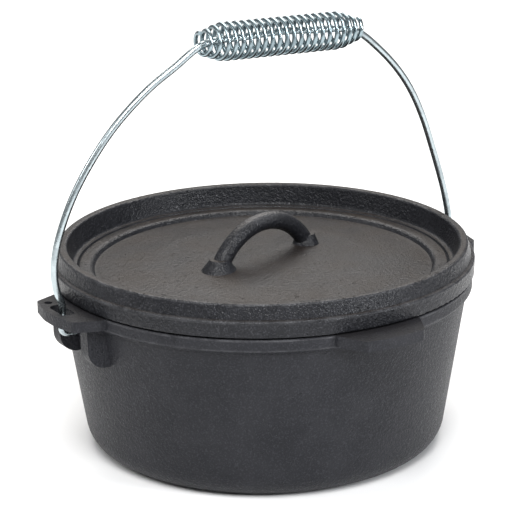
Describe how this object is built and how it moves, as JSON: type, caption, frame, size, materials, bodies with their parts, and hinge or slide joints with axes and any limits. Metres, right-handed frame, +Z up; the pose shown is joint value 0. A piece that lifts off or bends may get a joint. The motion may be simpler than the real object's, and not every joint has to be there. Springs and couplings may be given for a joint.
{
  "type": "dutch oven",
  "caption": "Round flat-bottomed cooking pot with a rimmed, domed lid that lifts off, a loop on the lid, and a swinging wire bail with a turning coil-spring grip.",
  "frame": {"origin": "middle of the pot's flat base", "axes": "+Z up; +X through the two bail ears, +Y through the two side tabs"},
  "size_m": [0.2988, 0.2964, 0.2733],
  "materials": {
    "pot_iron": "seasoned, fine sand-cast grain",
    "lid_iron": "seasoned, fine sand-cast grain, browner on the floor",
    "plated_wire": "bright zinc plate",
    "plated_coil": "bright zinc plate"
  },
  "bodies": {
    "pot": {"pot_casting": "pot_iron"},
    "lid": {"lid_casting": "lid_iron"},
    "bail": {"bail_wire": "plated_wire"},
    "grip": {"coil_grip": "plated_coil"}
  },
  "joints": [
    {"name": "lid_lift", "type": "slide", "parent": "pot", "child": "lid", "axis": [0, 0, 1], "range_m": [0, 0.02]},
    {"name": "bail_swing", "type": "hinge", "parent": "pot", "child": "bail", "pos_m": [0, 0, 0.10515], "axis": [1, 0, 0], "range_deg": [-64, 52]},
    {"name": "grip_spin", "type": "hinge", "parent": "bail", "child": "grip", "pos_m": [0.0036, -0.01627, 0.2599], "axis": [0.9991, 0.0044, -0.0416], "continuous": true}
  ]
}
